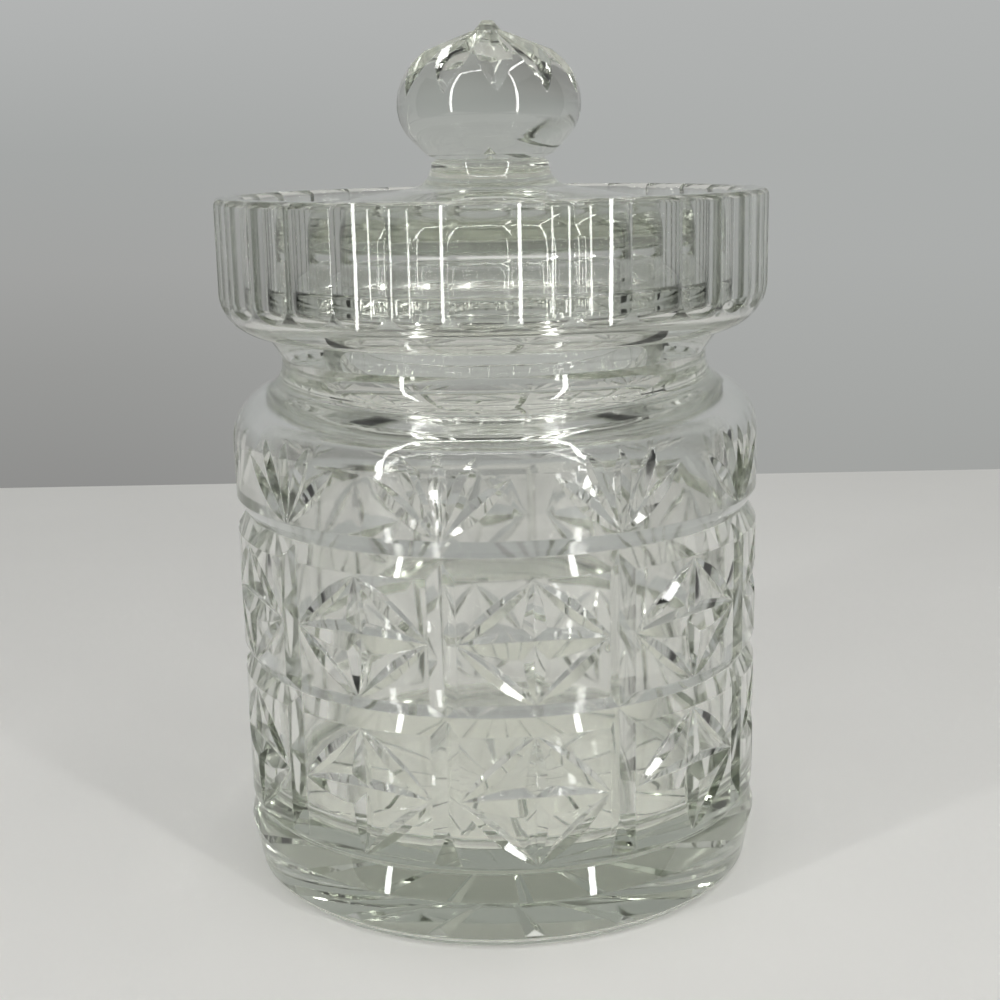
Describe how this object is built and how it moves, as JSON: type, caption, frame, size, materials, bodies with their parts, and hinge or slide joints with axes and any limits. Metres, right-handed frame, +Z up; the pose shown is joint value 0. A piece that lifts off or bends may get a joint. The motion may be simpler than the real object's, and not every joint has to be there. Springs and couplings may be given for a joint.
{
  "type": "biscuit jar",
  "caption": "Heavy clear cut-glass biscuit jar with a wide fluted collar, leaf-cut panels and fans round the body, and a domed lid with an onion knob that drops into the collar.",
  "frame": {"origin": "centre of the foot, on the table the jar stands on", "axes": "+Z up along the axis of the jar, out through the knob; a panel of the cut pattern faces -Y; +X to the right of someone looking at that panel"},
  "size_m": [0.1294, 0.1294, 0.2011],
  "materials": {
    "jar_glass": "polished cut crystal",
    "lid_glass": "polished cut crystal"
  },
  "bodies": {
    "jar": {"jar": "jar_glass"},
    "lid": {"lid": "lid_glass"}
  },
  "joints": [
    {"name": "lid_lift", "type": "slide", "parent": "jar", "child": "lid", "axis": [0, 0, 1], "range_m": [0, 0.06]}
  ]
}
